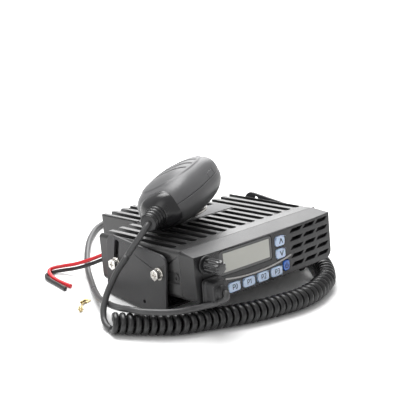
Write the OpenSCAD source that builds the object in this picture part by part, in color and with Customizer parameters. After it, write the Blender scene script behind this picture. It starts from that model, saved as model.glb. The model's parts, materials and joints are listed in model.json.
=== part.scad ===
// Compact land-mobile transceiver with its tilting mounting bracket, hand microphone and cords.
// The origin is the centre of the bracket's base on the surface it stands on: +X to the
// radio's right as seen from the front, +Y to the rear, +Z up. Millimetres.

/* [Radio body] */
// Width of the radio
body_w = 150; // [140:1:180]
// Height of the radio
body_h = 40; // [38:0.5:50]
// Depth from the face to the rear of the side fins
side_d = 117.5; // [108:0.5:141]
// Overall depth from the face to the rear of the middle block
body_d = 167.5; // [160:0.5:201]
// Width of the middle block that stands out at the rear
block_w = 68; // [60:1:82]
// Radius of the casing's upper edges
top_r = 3.5; // [2:0.5:5]
// Radius of the casing's lower edges
bottom_r = 6; // [3:0.5:8]
// Thickness of the casting's side walls
wall = 10; // [9:0.5:11]

/* [Heat sink] */
// Number of slots between the fins
slot_count = 14; // [10:1:16]
// Width of a slot
slot_w = 6; // [4:0.5:7]
// Distance from slot to slot
slot_pitch = 10.5; // [9.5:0.1:12]
// Depth of a slot
slot_h = 12; // [8:0.5:14]
// Distance from the face to the front tips of the slots
slot_front = 29.5; // [26:0.5:34]
// Width of the flat pad for the rating plate
pad_w = 63; // [42:1:76]
// Depth of the flat pad for the rating plate
pad_d = 26; // [16:1:32]
// Distance from the face to the pad
pad_front = 77.5; // [70:0.5:85]

/* [Front panel] */
// Depth of the moulded front panel
panel_d = 18; // [16:0.5:22]
// How far the panel hangs below the casting
panel_drop = 0.6; // [0:0.1:1.5]
// How far the top of the face is below the top of the casting
bezel_fall = 2.8; // [1:0.1:4]
// How far the middle of the face bulges in front of its ends
face_bulge = 3; // [1:0.5:5]
// Thickness of the panel behind the face
face_wall = 2.6; // [2:0.1:3.5]
// Width of the display opening
screen_w = 48; // [40:0.5:52]
// Height of the display opening
screen_h = 15; // [12:0.5:17]
// Width of a programmable key
key_w = 12.6; // [10:0.1:13.5]
// Height of a programmable key
key_h = 7.8; // [6:0.1:8.5]
// Distance from key to key
key_pitch = 15.2; // [14:0.1:16]
// Travel of a key
key_travel = 0.8; // [0.4:0.1:1]
// Gap around a key
key_gap = 0.3; // [0.2:0.05:0.4]
// Width of a louvre slot
louvre_w = 12; // [10:0.5:12.3]
// Height of a louvre slot
louvre_h = 2.8; // [2:0.1:3.5]
// Diameter of the volume knob
knob_d = 11.6; // [9:0.1:12.5]
// Length of the volume knob
knob_l = 16; // [10:0.5:18]
// Diameter of the volume control's shaft
shaft_d = 6; // [5:0.1:6.5]
// Thickness of the plug boot's body, side to side
boot_w = 15; // [12:0.5:16]

/* [Bracket] */
// Thickness of the bracket's sheet
sheet = 2; // [1.5:0.1:3]
// Gap between the casting and the bracket's sides
side_gap = 2; // [1.5:0.1:3]
// Front-to-back length of the bracket
bracket_d = 71; // [68:1:85]
// How far the bracket's base is set back behind the front edges of its sides
base_back = 16; // [10:1:18]
// How far the bracket's sides reach behind its base
ear_l = 3.5; // [0:0.5:5]
// Height of the bracket's sides
bracket_h = 53.7; // [50:0.1:64]
// Height of the tilt bolts above the surface
pivot_z = 38; // [36:0.5:45]
// Distance from the bracket's front edge to the front bolt
pivot_in = 8; // [7:0.5:12]
// Distance from the face to the front bolt
pivot_back = 39; // [37:0.5:44]
// Distance between the front and rear bolts
bolt_span = 53; // [50:0.5:54]
// Diameter of the tilt bolts
bolt_d = 5; // [4:0.5:6]
// Play of a bolt in its hole, on the radius
bolt_play = 0.05; // [0.03:0.01:0.1]
// Angle by which the radio's face is raised as stored
nose_up = 7.5; // [0:0.5:8]
// Largest tilt each way
tilt_max = 11; // [9:0.5:11.5]
// Side-to-side distance of the fixing holes
fix_x = 100; // [80:1:120]
// Front-to-back distance of the fixing holes
fix_y = 24; // [20:1:28]
// Diameter of the fixing holes
fix_d = 5.2; // [4:0.1:6]

/* [Microphone] */
// Width of the microphone
mic_w = 58; // [52:1:68]
// Length of the microphone's rounded body
mic_l = 92; // [84:1:105]
// Thickness of the microphone in front of the seam between its shells
mic_front = 20.4; // [18:0.1:22]
// Thickness of the microphone behind the seam
mic_rear = 20.2; // [18:0.1:22]
// Wall of the microphone's shells
mic_wall = 2.2; // [1.6:0.1:3]
// Width of the rubber end cap
cap_w = 33; // [28:0.5:38]
// Length of the strain relief
relief_l = 15; // [12:0.5:20]
// Travel of the talk key
ptt_travel = 2.5; // [1:0.1:3]

/* [Cords] */
// Diameter of the microphone cord
cord_d = 5; // [4:0.1:5.5]
// Outer diameter of the curly cord
curl_d = 17.3; // [15:0.1:19]
// Diameter of a power lead
lead_d = 3.2; // [2.5:0.1:3.5]

/* [Hidden] */
$fn = 48;

pivot_y = -bracket_d / 2 + pivot_in;
pivot_up = body_h / 2;
plate_x = body_w / 2 + side_gap;
face_r = body_w * body_w / 8 / face_bulge + face_bulge / 2;
face_mid = -face_bulge / 2;
slot_floor = body_h - slot_h;
cavity_h = slot_floor - 5;
panel_top = body_h - bezel_fall;
board_z = 8;
grommet_z = 17;
antenna_z = 26;
bolt_r = bolt_d / 2;
bolt_grip = 8;
washer_h = 1;
spring_h = 1.2;
mic_at = [-13.6, 21.7, 76.5];
mic_turn = [5, -29.8, -66.5];
cord_r = cord_d / 2;
touch = 0.05;

// Where the face is at a distance x from the middle
function face_y(x) = face_mid + face_r - sqrt(face_r * face_r - x * x);
// Middle of slot i
function slot_x(i) = (i - (slot_count - 1) / 2) * slot_pitch;

// Key centres on the face
key_x0 = -38.4;
key_z = 5.2;
arrow_x = 13.2;
arrow_w = 10.4;
arrow_h = 8.2;
arrow_z = [18.7, 28.9];
power_at = [18.6, 7.3];
power_w = 6.8;
power_h = 8.2;
screen_at = [-23.4, 26.2];
knob_at = [-64.5, 29.8];
jack_at = [-62.3, 10];
louvre_cols = [33, 48.8, 64.6];
louvre_z0 = 5.6;
louvre_step = 7;
speaker_at = [49, 18.2];
speaker_r = 15.8;

// ---- Placing and drawing helpers ----

// From the radio's own frame (face at y = 0, underside at z = 0) to its place in the bracket
module in_radio() {
    translate([0, pivot_y, pivot_z]) rotate([-nose_up, 0, 0])
        translate([0, -pivot_back, -pivot_up]) children();
}

// From the microphone's own frame (talk side at -X, cap at -Y, sound slots on +Z)
module in_mic() {
    translate(mic_at) rotate(mic_turn) children();
}

// Extrudes an outline drawn in X and Z along +Y
module along_y(d) {
    rotate([90, 0, 0]) translate([0, 0, -d]) linear_extrude(d) children();
}

// Extrudes an outline drawn in Y and Z along +X
module along_x(d) {
    rotate([90, 0, 90]) linear_extrude(d) children();
}

// A rectangle standing on the axis, with its own radii at the top and the bottom
module outline(w, h, rt, rb) {
    translate([-w / 2, rb]) square([w, h - rt - rb]);
    translate([-w / 2 + rb, 0]) square([w - 2 * rb, h / 2]);
    translate([-w / 2 + rt, h / 2]) square([w - 2 * rt, h / 2]);
    for (s = [-1, 1]) {
        translate([s * (w / 2 - rb), rb]) circle(rb);
        translate([s * (w / 2 - rt), h - rt]) circle(rt);
    }
}

// A centred rectangle with one corner radius
module pill(w, h, r) {
    translate([0, -h / 2]) outline(w, h, r, r);
}

// A round bar along +Y
module rod_y(r, d) {
    rotate([-90, 0, 0]) cylinder(r = r, h = d);
}

// A round bar along +X
module rod_x(r, d) {
    rotate([0, 90, 0]) cylinder(r = r, h = d);
}

// A pan-head cross-recess screw: head up, thread down, both on the axis
module pan_screw(head_r, head_h, thread_r, thread_l) {
    difference() {
        union() {
            cylinder(r = head_r, h = head_h);
            translate([0, 0, -thread_l]) cylinder(r = thread_r, h = thread_l);
        }
        for (a = [0, 90]) rotate(a)
            translate([-head_r * 0.6, -head_r * 0.14, head_h * 0.45])
                cube([head_r * 1.2, head_r * 0.28, head_h]);
    }
}

// One tube along its own points, with rings that stay square to the route
function unit(v) = v / norm(v);
function heading(p, i) = unit(p[min(i + 1, len(p) - 1)] - p[max(i - 1, 0)]);
function side_of(t) = unit(cross(t, abs(t[2]) < 0.9 ? [0, 0, 1] : [1, 0, 0]));
function carry(p, i) = i == 0 ? side_of(heading(p, 0))
    : let(t = heading(p, i), s = carry(p, i - 1)) unit(s - t * (s * t));
function ring(p, i, r, n) = let(t = heading(p, i), s = carry(p, i), u = cross(t, s))
    [for (k = [0:n - 1]) p[i] + r * (cos(360 * k / n) * s + sin(360 * k / n) * u)];
module tube(p, r, n = 8) {
    last = len(p) - 1;
    polyhedron(
        points = [for (i = [0:last]) each ring(p, i, r, n)],
        faces = concat(
            [[for (k = [0:n - 1]) k]],
            [for (i = [0:last - 1], k = [0:n - 1])
                [i * n + k, (i + 1) * n + k, (i + 1) * n + (k + 1) % n, i * n + (k + 1) % n]],
            [[for (k = [n - 1:-1:0]) last * n + k]]));
}

// ---- Cord routes, in the row frame ----

curl_route = [
    [-120.9, -25.3, 8.7], [-112.5, -34.5, 8.7], [-97.5, -49.5, 8.7], [-70.5, -65, 8.7],
    [-40, -77, 8.7], [-4.5, -85.5, 8.7], [16, -88, 8.7], [35, -85.5, 8.7], [59, -75.5, 8.7],
    [77.5, -56.5, 8.7], [88.5, -36, 8.7], [92, -10, 8.7], [92, 10, 8.7], [91, 30, 8.7],
    [90, 50, 8.7], [91, 80, 8.7]];

plug_drop_route = [
    [-62.3, -80.6, 34.9], [-62.3, -85, 35.4], [-63.2, -85.4, 30], [-66, -77, 25.5],
    [-76.5, -66, 21], [-87.8, -61.6, 20.6], [-97.2, -55.5, 20.6], [-105.3, -47.4, 20.7],
    [-112.4, -32.5, 20.2], [-112, -20, 17], [-101.5, 19, 8.5], [-89.4, 42.5, 5]];

plug_floor_route = [
    [-89.2, 42.8, 5], [-76, 64.7, 3], [-51, 103, 2.6], [-20, 140, 2.6], [-0.7, 157, 2.6],
    [13.3, 164.7, 2.6], [40, 166, 2.6], [62, 158, 2.6], [76, 143, 2.6], [80, 125, 2.6],
    [77, 108, 2.6], [77, 94, 2.6], [84, 83.5, 2.6], [90, 82.4, 2.6]];

mic_top_route = [
    [-69.2, -5.5, 71.8], [-71.5, -6.7, 71.5], [-76, -7.5, 67.6], [-80.5, -4.8, 60.5],
    [-84.9, -1, 51.5], [-87.5, 0.5, 47]];

mic_hang_route = [
    [-87.7, 0.6, 46.7], [-95.4, 2.7, 36.5], [-106, 1.7, 23], [-115.9, -4.1, 11],
    [-119.8, -9.2, 5.5], [-121.8, -15.5, 3.4], [-122.4, -22, 2.7]];

red_route = [
    [-55, 51.8, 26.6], [-55.2, 55.8, 26.1], [-63, 66, 21.4], [-71.3, 80, 13.6],
    [-79.5, 98, 6.6], [-86, 103, 5.2], [-92, 101.5, 4.8], [-95.5, 88, 2.2], [-94, 68, 1.7]];

black_route = [
    [-55, 51.4, 22.6], [-55.2, 55.3, 22.1], [-63.6, 65.5, 17.4], [-72.2, 79.6, 9.6],
    [-80.6, 97.5, 3], [-87, 102.3, 1.7], [-94.3, 101.6, 1.7], [-99.6, 88, 1.7],
    [-101, 66, 1.7]];

// ---- Bracket ----

// Folded steel U with a round hole for each front bolt and an arc slot for each rear bolt
module bracket() {
    color("dimgray") difference() {
        intersection() {
            translate([0, -bracket_d / 2, 0]) along_y(bracket_d + ear_l) difference() {
                outline(2 * (plate_x + sheet), bracket_h + 10, 1, sheet + 1);
                translate([0, sheet]) outline(2 * plate_x, bracket_h + 20, 1, 1);
            }
            translate([-plate_x - 2 * sheet, 0, 0]) along_x(2 * plate_x + 4 * sheet)
                bracket_side();
        }
        for (s = [-1, 1]) {
            translate([s * (plate_x + sheet / 2) - sheet, pivot_y, pivot_z])
                rod_x(bolt_r + bolt_play, 2 * sheet);
            translate([s * (plate_x + sheet / 2) - sheet, pivot_y, pivot_z])
                along_x(2 * sheet) tilt_slot();
            translate([s * (plate_x + sheet / 2) - sheet, pivot_y + 18.5, 8.7])
                rod_x(1.5, 2 * sheet);
        }
        for (x = [-fix_x / 2, fix_x / 2], y = [-fix_y / 2, fix_y / 2])
            translate([x, y, -1]) cylinder(d = fix_d, h = sheet + 2);
        // base set back in front and short of the sides behind
        translate([-base_w / 2, -bracket_d / 2 - 1, -1]) cube([base_w, base_back + 1, sheet + 2]);
        translate([-base_w / 2, bracket_d / 2, -1]) cube([base_w, ear_l + 1, sheet + 2]);
        // the sides' rear strip lies a step lower than the part round the slot
        for (s = [-1, 1])
            translate([s > 0 ? plate_x + sheet - step_h : -plate_x - sheet - 1, step_y, -1])
                cube([step_h + 1, bracket_d, bracket_h + 2]);
    }
}

base_w = 2 * plate_x - 8;
step_h = 0.8;
step_y = pivot_y + bolt_span + 3.8;

// Side of the bracket: rounded in front at the top, more so at the rear
module bracket_side() {
    front_r = 7;
    rear_r = 10;
    side_l = bracket_d + ear_l;
    translate([-bracket_d / 2, 0]) {
        square([side_l, bracket_h - rear_r]);
        translate([front_r, 0]) square([side_l - front_r - rear_r, bracket_h]);
        translate([0, bracket_h - rear_r - 1]) square([side_l / 2, rear_r + 1 - front_r]);
        translate([front_r, bracket_h - front_r]) circle(front_r);
        translate([side_l - rear_r, bracket_h - rear_r]) circle(rear_r);
    }
}

// Arc slot about the front bolt, long enough for the whole tilt
module tilt_slot() {
    half_w = bolt_r + 0.15;
    end_a = tilt_max + 0.5;
    intersection() {
        difference() {
            circle(bolt_span + half_w, $fn = 180);
            circle(bolt_span - half_w, $fn = 180);
        }
        polygon([[0, 0], 2 * bolt_span * [cos(end_a), -sin(end_a)],
            2 * bolt_span * [cos(end_a), sin(end_a)]]);
    }
    for (s = [-1, 1]) translate(bolt_span * [cos(end_a), s * sin(end_a)]) circle(half_w);
}

// Places its children at each of the four bolts, with +Z pointing out of the radio
module at_bolts() {
    in_radio() for (s = [-1, 1], y = [0, bolt_span])
        translate([s * (plate_x + sheet), pivot_back + y, pivot_up])
            rotate([0, s * 90, 0]) children();
}

// Four hexagon-head bolts with a cross recess
module tilt_bolts() {
    head_z = touch + washer_h + spring_h;
    reach = side_gap + sheet + bolt_grip;
    color("silver") at_bolts() difference() {
        union() {
            translate([0, 0, head_z]) cylinder(d = 8 / cos(30), h = 3.2, $fn = 6);
            translate([0, 0, -reach]) cylinder(r = bolt_r, h = reach + head_z + 1);
        }
        for (a = [0, 90]) rotate(a) translate([-2.4, -0.5, head_z + 2]) cube([4.8, 1, 3]);
    }
}

// A flat washer and a spring washer under each bolt head
module tilt_washers() {
    color("silver") at_bolts() {
        translate([0, 0, touch]) ring_washer(5, washer_h);
        translate([0, 0, touch + washer_h]) ring_washer(4.3, spring_h);
    }
}

module ring_washer(r, h) {
    difference() {
        cylinder(r = r, h = h);
        translate([0, 0, -1]) cylinder(r = bolt_r + 0.1, h = h + 2);
    }
}

// Rubber pads between the casting and the bracket, one around each bolt
module spacer_pads() {
    color("black") at_bolts() translate([0, 0, -sheet - side_gap]) difference() {
        cylinder(r = 6.5, h = side_gap - 0.1);
        translate([0, 0, -1]) cylinder(r = bolt_r + 0.1, h = side_gap + 2);
    }
}

// ---- Casting and covers ----

// Die-cast case, open below, whose top is the heat sink
module heat_sink_casting() {
    color("dimgray") in_radio() difference() {
        union() {
            difference() {
                casting_block();
                for (i = [0:slot_count - 1]) heat_slot(slot_x(i));
            }
            plate_pad();
        }
        for (s = [-1, 1]) {
            side_recess(s);
            for (y = [0, bolt_span])
                translate([s > 0 ? body_w / 2 - bolt_grip - 1 : -body_w / 2 - 1,
                    pivot_back + y, pivot_up]) rod_x(bolt_r + bolt_play, bolt_grip + 2);
        }
        translate([jack_x(1), side_d - 8, pivot_up]) rod_y(3.2, 12);
        translate([jack_x(-1), side_d - 8, grommet_z]) along_y(12) pill(8.2, 10.2, 3.9);
        translate([0, body_d - 8, antenna_z]) rod_y(4, 12);
    }
}

// Side-to-side place of the rear sockets beside the middle block
function jack_x(s) = s * (body_w / 2 - 20);

module casting_block() {
    cavity_w = body_w - 2 * wall;
    difference() {
        union() {
            translate([0, panel_d, 0]) along_y(side_d - panel_d)
                outline(body_w, body_h, top_r, bottom_r);
            translate([0, side_d - 2, 1.5]) along_y(body_d - side_d + 2)
                outline(block_w, body_h - 1.5, 1.5, 4);
        }
        // hollow behind the front panel, with a post in each corner for a cover screw
        difference() {
            translate([-cavity_w / 2, panel_d - 1, -1])
                cube([cavity_w, side_d - panel_d - 4, cavity_h + 1]);
            for (p = cover_points()) translate([p[0], p[1], 0]) cylinder(r = post_r, h = cavity_h + 1);
        }
        for (p = cover_points()) translate([p[0], p[1], 0]) cylinder(r = 1.35, h = 9);
        // seat of the cover
        translate([0, cover_y, -1]) linear_extrude(cover_t + 1.2)
            pill(cover_w() + 0.4, cover_l() + 0.4, 3);
        // hollow of the rear block, closed below and open to the main one
        translate([-block_w / 2 + 5, side_d - 6, 5])
            cube([block_w - 10, body_d - side_d, cavity_h - 5]);
    }
}

// A slot open at the rear, round at the front tip
module heat_slot(x) {
    long = abs(x) < block_w / 2 - slot_w / 2 - 1;
    rear = long ? body_d : side_d;
    translate([x, slot_front + slot_w / 2, slot_floor]) linear_extrude(slot_h + 1) {
        circle(slot_w / 2);
        translate([-slot_w / 2, 0]) square([slot_w, rear - slot_front]);
    }
}

module plate_pad() {
    translate([slot_pitch - pad_w / 2, pad_front, slot_floor - 1])
        cube([pad_w, pad_d, slot_h + 1]);
}

// Shallow recess in the casting's side for the screw that holds the front panel
module side_recess(s) {
    depth = 0.8;
    translate([s > 0 ? body_w / 2 - depth : -body_w / 2 - 1, panel_d + 2.5, 13.5])
        cube([depth + 1, 15, 9]);
    translate([s > 0 ? body_w / 2 - wall - 2 : -body_w / 2 - 1, panel_d + 5, 18])
        rod_x(1.55, wall + 3);
}

// Sheet steel cover, flush in the open underside
module bottom_cover() {
    color("gray") in_radio() translate([0, cover_y, 0.2]) difference() {
        linear_extrude(cover_t) pill(cover_w(), cover_l(), 2.8);
        for (p = cover_points()) translate([p[0], p[1] - cover_y, -1]) cylinder(r = 1.6, h = 4);
    }
}

cover_t = 1.2;
cover_y = (panel_d + side_d) / 2;
post_r = 4;

function cover_w() = body_w - 2 * wall + 4.6;
function cover_l() = side_d - panel_d - 3;
function cover_points() = [
    for (s = [-1, 1], y = [panel_d + 9, side_d - 10.5]) [s * (body_w / 2 - wall - post_r + 0.5), y]];

module cover_screws() {
    color("silver") in_radio() for (p = cover_points())
        translate([p[0], p[1], 0.2 - touch]) rotate([180, 0, 0]) pan_screw(2.6, 1, 1.3, 7);
}

module side_screws() {
    color("black") in_radio() for (s = [-1, 1])
        translate([s * (body_w / 2 - 0.8 + touch), panel_d + 5, 18])
            rotate([0, s * 90, 0]) pan_screw(2.9, 1.2, 1.5, 6);
}

// Blank aluminium rating plate on the heat sink's flat pad
module rating_plate() {
    color("gainsboro") in_radio() translate([slot_pitch, pad_front + pad_d / 2, body_h + touch])
        linear_extrude(0.4) pill(pad_w - 3, pad_d - 3, 1.5);
}

// ---- Front panel and what it carries ----

// The panel's outer form: a sloping top, a bulging face and rounded ends
module panel_form() {
    intersection() {
        translate([0, -face_bulge, -panel_drop]) along_y(panel_d + face_bulge)
            outline(body_w, body_h + panel_drop, top_r, bottom_r + 1);
        translate([-body_w / 2, 0, 0]) along_x(body_w)
            polygon([[-face_bulge, -panel_drop], [-face_bulge, panel_top - 1.6],
                [face_mid + 1.6, panel_top], [panel_d, body_h], [panel_d, -panel_drop]]);
        translate([0, face_mid + face_r, -5]) cylinder(r = face_r, h = body_h + 10, $fn = 360);
    }
}

module front_panel() {
    inner_w = body_w - 6;
    color("dimgray") in_radio() difference() {
        panel_form();
        translate([-inner_w / 2, face_y(body_w / 2) + face_wall, 2.4 - panel_drop])
            cube([inner_w, panel_d, panel_top - 4.4]);
        // display recess and opening
        face_layer(-2, 1.4) face_cut(screen_at, 8) pill(screen_w + 8, screen_h + 5, 3);
        face_cut(screen_at, 20) pill(screen_w, screen_h, 1);
        // key openings
        for (i = [0:3]) face_cut([key_x0 + i * key_pitch, key_z], 20) key_shape(key_w, key_h, key_gap);
        for (z = arrow_z) face_cut([arrow_x, z], 20) key_shape(arrow_w, arrow_h, key_gap);
        face_cut(power_at, 20) key_shape(power_w, power_h, key_gap);
        // volume control and microphone jack
        face_cut(knob_at, 20) circle(shaft_d / 2 + 1.5);
        face_cut(jack_at, 20) pill(12.4, 14.4, 1);
        // loudspeaker louvres
        for (x = louvre_cols, i = [0:4])
            face_cut([x, louvre_z0 + i * louvre_step], 20) louvre();
        face_layer(-2, 0.8) trim_band(0);
    }
}

// A louvre slot whose ends slant
module louvre() {
    lean = 3.2;
    w = louvre_w + lean;
    polygon([[-w / 2, -louvre_h / 2], [w / 2 - lean, -louvre_h / 2], [w / 2, louvre_h / 2],
        [-w / 2 + lean, louvre_h / 2]]);
}

// Cuts an outline into the face to a depth below the middle of the face
module face_cut(at, depth) {
    translate([at[0], face_mid - 5, at[1]]) along_y(depth + 5) children();
}

// Keeps the part of its children between two depths below the bulging face
module face_layer(near, far) {
    difference() {
        intersection() {
            children();
            translate([0, face_mid + face_r + near, -5])
                cylinder(r = face_r, h = body_h + 10, $fn = 360);
        }
        translate([0, face_mid + face_r + far, -6])
            cylinder(r = face_r, h = body_h + 12, $fn = 360);
    }
}

module key_shape(w, h, grow) {
    pill(w + 2 * grow, h + 2 * grow, 2.4 + grow);
}

// A band that sags between the display and the lower row of keys
module trim_band(shrink) {
    sag_r = 190;
    band = 1.6;
    translate([-13.5, face_mid - 2, 11.3 + sag_r]) intersection() {
        along_y(12) difference() {
            circle(sag_r + band - shrink, $fn = 360);
            circle(sag_r + shrink, $fn = 360);
        }
        translate([-33 + shrink, 0, -sag_r - 3]) cube([72 - 2 * shrink, 12, 12]);
    }
}

module trim_strip() {
    color("silver") in_radio() face_layer(-0.2, 0.75) trim_band(0.1);
}

module display_window() {
    color([0.75, 0.76, 0.72]) in_radio() face_layer(0.3, 1.3)
        face_cut(screen_at, 8) pill(screen_w + 7.6, screen_h + 4.6, 2.8);
}

module display_module() {
    color([0.7, 0.71, 0.66]) in_radio() translate([screen_at[0], glass_back() + touch, screen_at[1]])
        along_y(3.4) pill(screen_w - 0.6, screen_h - 0.6, 0.6);
}

// Where the window's rear face is at the left end of the display
function glass_back() = face_y(screen_at[0] - screen_w / 2 - 4) + 1.3;

// Silicone sheet with a dome behind each key
module keypad_sheet() {
    z0 = 2.2;
    color([0.3, 0.3, 0.32]) in_radio() translate([0, key_back() + key_travel + 0.2, 0]) union() {
        translate([-46, 0, z0]) cube([72, 1, 8.4]);
        translate([7.5, 0, z0]) cube([12.5, 1, 31]);
    }
}

// Where a key's flange ends
function key_back() = face_y(body_w / 2) + face_wall + 1.4;

// A key cap with a flange that keeps it behind the face
module key_body(at, w, h) {
    front = min(face_y(at[0]), 0) - 0.9;
    in_radio() {
        translate([at[0], front, at[1]]) along_y(key_back() - front - 0.6) key_shape(w, h, 0);
        translate([at[0], key_back() - 1.1, at[1]]) along_y(1.1) pill(w + 1.2, h - 1.4, 1);
    }
}

module lower_key(i) {
    color("lightsteelblue") key_body([key_x0 + i * key_pitch, key_z], key_w, key_h);
}

module volume_knob() {
    flutes = 8;
    color("black") in_radio() translate([knob_at[0], -1.8 - knob_l, knob_at[1]]) difference() {
        rod_y(knob_d / 2, knob_l);
        for (i = [0:flutes - 1]) rotate([0, (i + 0.5) * 360 / flutes, 0])
            translate([knob_d / 2 + 0.9, -1, 0]) rod_y(1.9, knob_l - 1.5);
        translate([0, 4, 0]) rod_y(shaft_d / 2 - touch, knob_l);
    }
}

module volume_shaft() {
    color("silver") in_radio() translate([knob_at[0], -1.8 - knob_l + 4.2, knob_at[1]])
        rod_y(shaft_d / 2 - 2 * touch, knob_l + 3);
}

module knob_collar() {
    collar_r = knob_d / 2 + 1.4;
    front_y = -1.5;
    depth = face_y(knob_at[0] + collar_r) - front_y - touch;
    color("dimgray") in_radio() translate([knob_at[0], front_y, knob_at[1]]) difference() {
        rod_y(collar_r, depth);
        translate([0, -1, 0]) rod_y(shaft_d / 2 + 0.6, depth + 2);
    }
}

module volume_control() {
    at_y = face_y(body_w / 2) + face_wall + 0.3;
    color("gray") in_radio() translate([knob_at[0], at_y, knob_at[1]]) difference() {
        translate([-6.5, 0, -6]) cube([13, 9, 10.4]);
        translate([0, -1, 0]) rod_y(shaft_d / 2 - touch, 20);
    }
}

// Loudspeaker: pressed basket, cone and magnet
module speaker_frame() {
    color("gray") at_speaker() difference() {
        union() {
            cylinder(r = speaker_r, h = 2);
            cylinder(r = speaker_r - 5, h = 8);
        }
        translate([0, 0, -1]) cylinder(r = speaker_r - 7, h = 12);
        translate([0, 0, -1]) cylinder(r = speaker_r - 2.5, h = 2.2);
    }
}

module speaker_cone() {
    color("black") at_speaker() translate([0, 0, 0.3]) rotate_extrude()
        polygon([[0, 3.4], [4, 3.4], [speaker_r - 7.2, 0.4], [speaker_r - 3, 0.2],
            [speaker_r - 3, 0.7], [speaker_r - 7.2, 0.9], [4.2, 4], [0, 4]]);
}

module speaker_magnet() {
    color("dimgray") at_speaker() translate([0, 0, 8.1]) cylinder(r = 9, h = 3.6);
}

module at_speaker() {
    at_y = face_y(body_w / 2) + face_wall + 0.7;
    in_radio() translate([speaker_at[0], at_y, speaker_at[1]]) rotate([-90, 0, 0]) children();
}

// Woven dust mesh between the louvres and the loudspeaker
module dust_mesh() {
    at_y = face_y(body_w / 2) + face_wall + 0.1;
    color("black") in_radio() translate([speaker_at[0], at_y, speaker_at[1]])
        along_y(0.5) pill(46, 31, 2);
}

// ---- Boards and sockets ----

module front_board() {
    color("darkgreen") in_radio() translate([-54, key_back() + key_travel + 1.4, 1.9])
        difference() {
            cube([82, 1.4, panel_top - 6.2]);
            translate([54 + screen_at[0] - screen_w / 2, -1, screen_at[1] - 2 - screen_h / 2])
                cube([screen_w, 4, screen_h + 0.2]);
        }
}

function board_w() = body_w - 2 * wall - 2 * (2 * post_r + 1);

module main_board() {
    color("darkgreen") in_radio() translate([-board_w() / 2, panel_d + 3, board_z])
        cube([board_w(), side_d - panel_d - 12, 1.6]);
}

module power_module() {
    color("black") in_radio() translate([-34, side_d - 26, board_z + 1.6 + touch])
        cube([68, 15, cavity_h - board_z - 1.8]);
}

module shield_can() {
    color("silver") in_radio() translate([-30, panel_d + 14, board_z + 1.6 + touch])
        difference() {
            cube([60, 40, 6]);
            translate([0.4, 0.4, -1]) cube([59.2, 39.2, 6.6]);
        }
}

// Coaxial antenna socket with its four-cornered flange, on the middle block
module antenna_socket() {
    color("silver") in_radio() translate([0, body_d + touch, antenna_z]) difference() {
        union() {
            along_y(2.2) pill(25, 25, 2.5);
            rod_y(7.9, 15);
        }
        translate([0, 2.5, 0]) rod_y(6.2, 20);
        for (x = [-9, 9], z = [-9, 9]) translate([x, -1, z]) rod_y(1.6, 5);
    }
    color("gold") in_radio() translate([0, body_d - 7, antenna_z]) difference() {
        rod_y(2.6, 19);
        translate([0, 6, 0]) rod_y(1.9, 20);
    }
}

// Jack for an outside loudspeaker
module speaker_jack() {
    color("black") in_radio() translate([jack_x(1), side_d - 12, pivot_up]) difference() {
        union() {
            translate([0, 6, 0]) rod_y(3.1, 6.5);
            translate([0, 12 + touch, 0]) rod_y(4.6, 2);
        }
        translate([0, 2, 0]) rod_y(1.8, 20);
    }
}

// Oval rubber grommet where the power leads leave the casting
module power_grommet() {
    color("black") in_radio() translate([jack_x(-1), side_d - 5, grommet_z]) difference() {
        union() {
            along_y(5.1) pill(8, 10, 3.8);
            translate([0, 5 + touch, 0]) along_y(2.4) pill(11, 13, 5);
        }
        translate([0, 6.6, 0]) along_y(3) pill(lead_d + 1, 2 * lead_d + 1.4, 1.8);
    }
}

// Eight-pin modular jack, its plug and the rubber boot over them
module mic_jack() {
    color("black") in_radio() translate([jack_at[0], face_y(jack_at[0]) + 0.4, jack_at[1]])
        difference() {
            along_y(13) pill(12.2, 14.2, 0.9);
            translate([0, -1, 0]) along_y(12) pill(10, 9, 0.4);
        }
}

module mic_plug() {
    color([0.8, 0.85, 0.9]) in_radio()
        translate([jack_at[0], face_y(jack_at[0]) - 4, jack_at[1]])
            along_y(14) pill(9.6, 8.6, 0.3);
}

module plug_boot() {
    base_y = face_y(jack_at[0] + boot_w / 2) - 0.1;
    end_y = -12;
    color([0.2, 0.2, 0.21]) in_radio() translate([jack_at[0], 0, jack_at[1]]) difference() {
        union() {
            translate([0, base_y - 1.6, -0.3]) along_y(1.6 - 0.5) pill(boot_w + 3, 19, 3);
            translate([0, base_y - 3.4, -0.3]) along_y(1.6) pill(boot_w + 1.6, 18, 3);
            translate([0, end_y, 0]) along_y(base_y - 1 - end_y) pill(boot_w, 16.4, 3.4);
            translate([0, end_y - 3.2, 0]) rod_y(5.4, 5);
            translate([0, end_y - 4.6, 0]) rod_y(4.3, 5);
        }
        translate([0, face_y(jack_at[0]) - 4.2, 0]) along_y(20) pill(9.8, 8.8, 0.3);
        translate([0, end_y - 5, 0]) rod_y(cord_r + touch, 6);
        // follow the bulging face
        translate([-jack_at[0], face_mid + face_r, -30]) cylinder(r = face_r, h = 60, $fn = 360);
    }
}

// ---- Hand microphone ----

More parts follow.
